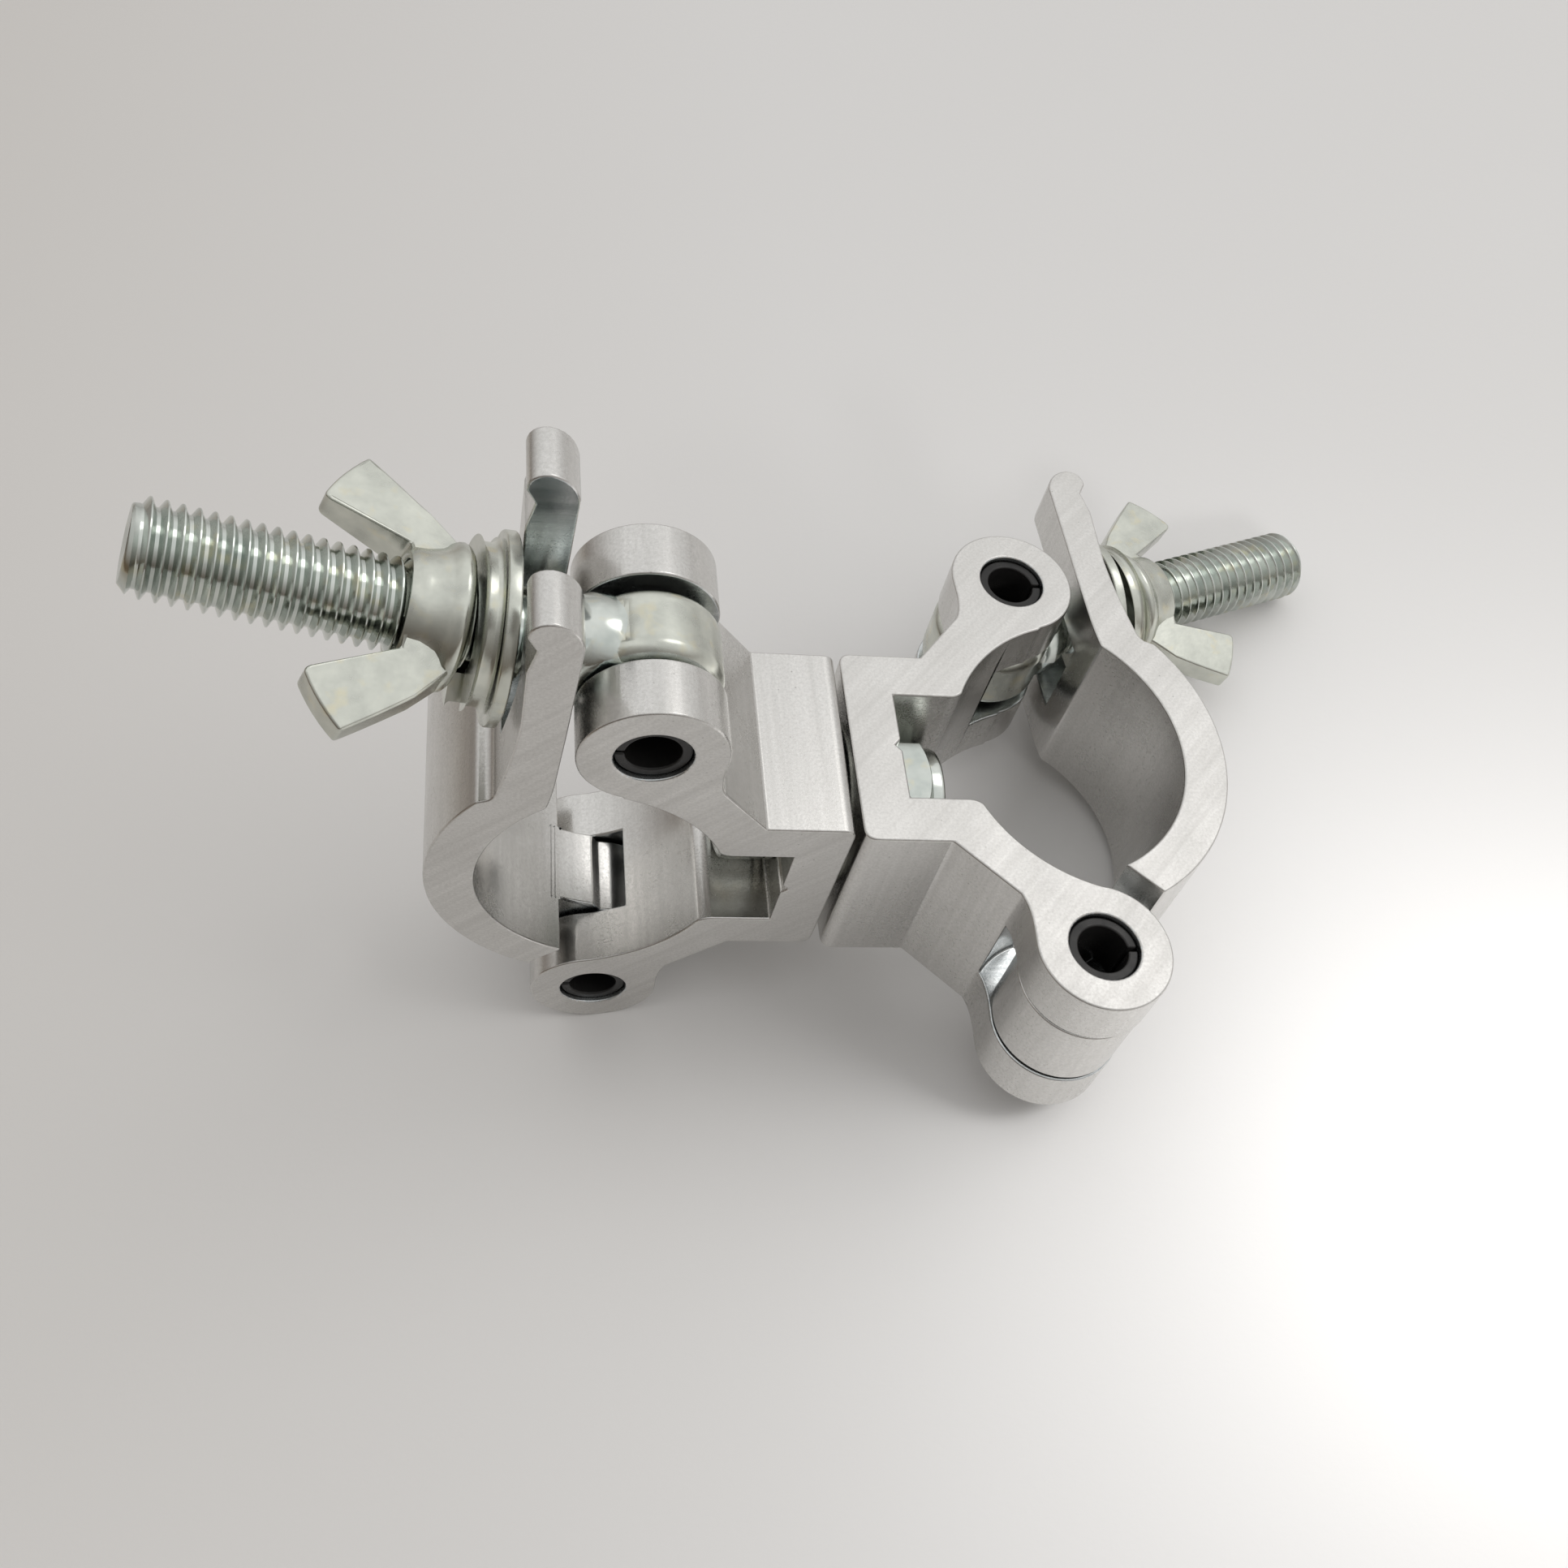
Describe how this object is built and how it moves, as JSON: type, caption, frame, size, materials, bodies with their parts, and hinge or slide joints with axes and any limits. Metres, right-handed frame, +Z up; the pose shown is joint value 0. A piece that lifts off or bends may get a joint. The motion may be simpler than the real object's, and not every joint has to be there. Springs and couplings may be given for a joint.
{
  "type": "swivel pipe clamp",
  "caption": "Aluminium swivel coupler for round tube: clamps joined crosswise by a swivel bolt, each with a hinged jaw closed by an eye bolt and wing nut.",
  "frame": {"origin": "on the ground plane, under the middle of the whole coupler as it lies", "axes": "+X along its length towards the right half, +Y across, towards the right half's eye bolt, +Z up"},
  "size_m": [0.1628, 0.1056, 0.1114],
  "materials": {
    "mill_finish_aluminium": "satin extruded and sawn, fine scratches",
    "zinc_plated_steel": "bright blue-passivated zinc plating",
    "black_spring_steel": "black oxide, semi-gloss",
    "nylon": "satin natural off-white nylon"
  },
  "bodies": {
    "right_half": {"right_body": "mill_finish_aluminium", "right_hinge_pin": "black_spring_steel", "right_eyebolt_pin": "black_spring_steel", "swivel_bolt": "zinc_plated_steel", "swivel_nut": "zinc_plated_steel", "swivel_lock_ring": "nylon", "swivel_thrust_washer": "zinc_plated_steel"},
    "left_half": {"left_body": "mill_finish_aluminium", "left_hinge_pin": "black_spring_steel", "left_eyebolt_pin": "black_spring_steel", "swivel_head_washer": "zinc_plated_steel"},
    "right_jaw": {"right_jaw": "mill_finish_aluminium"},
    "right_eyebolt": {"right_eyebolt": "zinc_plated_steel"},
    "right_washers": {"right_flat_washer": "zinc_plated_steel", "right_spring_washer": "zinc_plated_steel"},
    "right_wing_nut": {"right_wing_nut": "zinc_plated_steel"},
    "left_jaw": {"left_jaw": "mill_finish_aluminium"},
    "left_eyebolt": {"left_eyebolt": "zinc_plated_steel"},
    "left_washers": {"left_flat_washer": "zinc_plated_steel", "left_spring_washer": "zinc_plated_steel"},
    "left_wing_nut": {"left_wing_nut": "zinc_plated_steel"}
  },
  "joints": [
    {"name": "swivel", "type": "hinge", "parent": "right_half", "child": "left_half", "pos_m": [-0.00678, -0.01056, 0.03177], "axis": [0.9537, 0.0019, -0.3007], "continuous": true},
    {"name": "right_nut_spin", "type": "hinge", "parent": "right_washers", "child": "right_wing_nut", "pos_m": [0.04935, 0.03236, 0.01466], "axis": [0.8968, 0.3422, -0.2806], "range_deg": [0, 5040]},
    {"name": "right_washer_slide", "type": "slide", "parent": "right_eyebolt", "child": "right_washers", "axis": [0.8968, 0.3422, -0.2806], "range_m": [0, 0.0245]},
    {"name": "right_eyebolt_swing", "type": "hinge", "parent": "right_half", "child": "right_eyebolt", "pos_m": [0.02236, 0.0221, 0.0228], "axis": [-0.3007, 0.0061, -0.9537], "range_deg": [0, 26]},
    {"name": "right_jaw_hinge", "type": "hinge", "parent": "right_half", "child": "right_jaw", "pos_m": [0.0235, -0.043, 0.02202], "axis": [-0.3007, 0.0061, -0.9537], "range_deg": [0, 22.3]},
    {"name": "left_nut_spin", "type": "hinge", "parent": "left_washers", "child": "left_wing_nut", "pos_m": [-0.05106, -0.01287, 0.08868], "axis": [-0.8311, -0.0148, 0.556], "range_deg": [0, 5040]},
    {"name": "left_washer_slide", "type": "slide", "parent": "left_eyebolt", "child": "left_washers", "axis": [-0.8311, -0.0148, 0.556], "range_m": [0, 0.0245]},
    {"name": "left_eyebolt_swing", "type": "hinge", "parent": "left_half", "child": "left_eyebolt", "pos_m": [-0.02612, -0.01212, 0.07202], "axis": [-0.0121, -0.9989, -0.0446], "range_deg": [0, 26]},
    {"name": "left_jaw_hinge", "type": "hinge", "parent": "left_half", "child": "left_jaw", "pos_m": [-0.04683, -0.00912, 0.01036], "axis": [-0.0121, -0.9989, -0.0446], "range_deg": [0, 22.3]}
  ],
  "couplings": [
    {"joint": "right_washer_slide", "follows": "right_nut_spin", "m_per_rad": 0.00027852},
    {"joint": "right_eyebolt_swing", "follows": "right_nut_spin", "ratio": 0.0051587},
    {"joint": "right_jaw_hinge", "follows": "right_nut_spin", "ratio": 0.0044246},
    {"joint": "left_washer_slide", "follows": "left_nut_spin", "m_per_rad": 0.00027852},
    {"joint": "left_eyebolt_swing", "follows": "left_nut_spin", "ratio": 0.0051587},
    {"joint": "left_jaw_hinge", "follows": "left_nut_spin", "ratio": 0.0044246}
  ]
}
